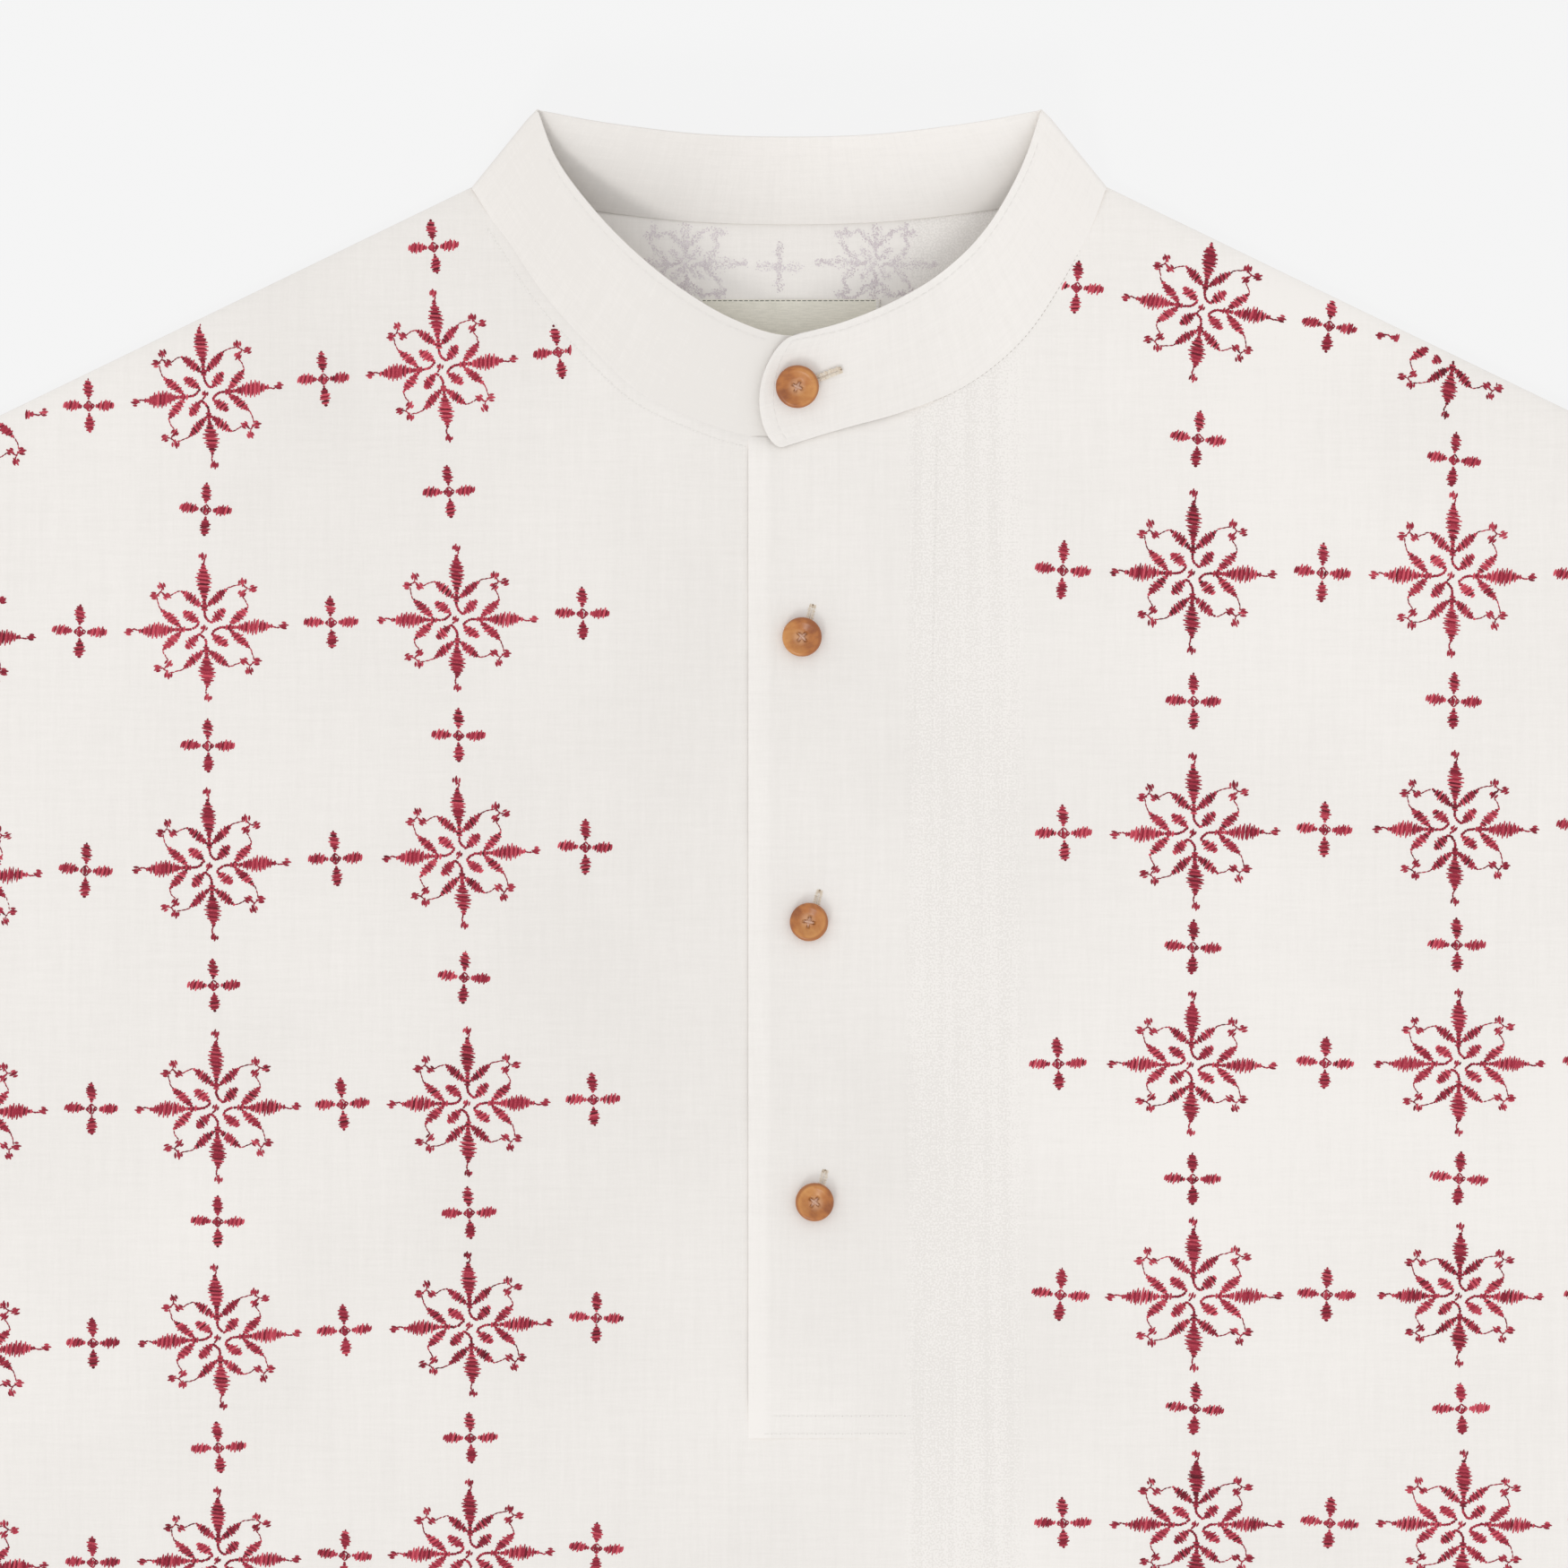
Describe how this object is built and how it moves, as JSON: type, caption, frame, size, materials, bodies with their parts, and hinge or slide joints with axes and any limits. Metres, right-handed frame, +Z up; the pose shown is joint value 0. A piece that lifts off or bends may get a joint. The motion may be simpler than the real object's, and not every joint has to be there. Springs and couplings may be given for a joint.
{
  "type": "linen shirt",
  "caption": "Short-sleeved linen shirt with a standing band collar, a buttoned half placket and rows of embroidered star flowers, laid flat on its back.",
  "frame": {"origin": "centre of the whole garment's box, on the surface that it lies on", "axes": "+Z up out of the cloth, +Y from the hem towards the collar, +X to the right as seen from above, which is the wearer's left"},
  "size_m": [0.882, 0.7621, 0.0249],
  "materials": {
    "linen": "plain-weave off-white linen, matt",
    "embroidery": "crimson satin-stitch thread with a soft sheen",
    "label_cloth": "bare sage-grey woven label",
    "button": "polished amber-brown with a paler centre",
    "thread": "pinkish-beige sewing thread"
  },
  "bodies": {
    "root": {"back": "linen", "front": "linen", "placket_over": "linen", "placket_under": "linen", "collar": "linen", "sleeve_left": "linen", "sleeve_right": "linen", "label": "label_cloth", "button_collar": "button", "button_upper": "button", "button_middle": "button", "button_lower": "button"}
  },
  "joints": []
}
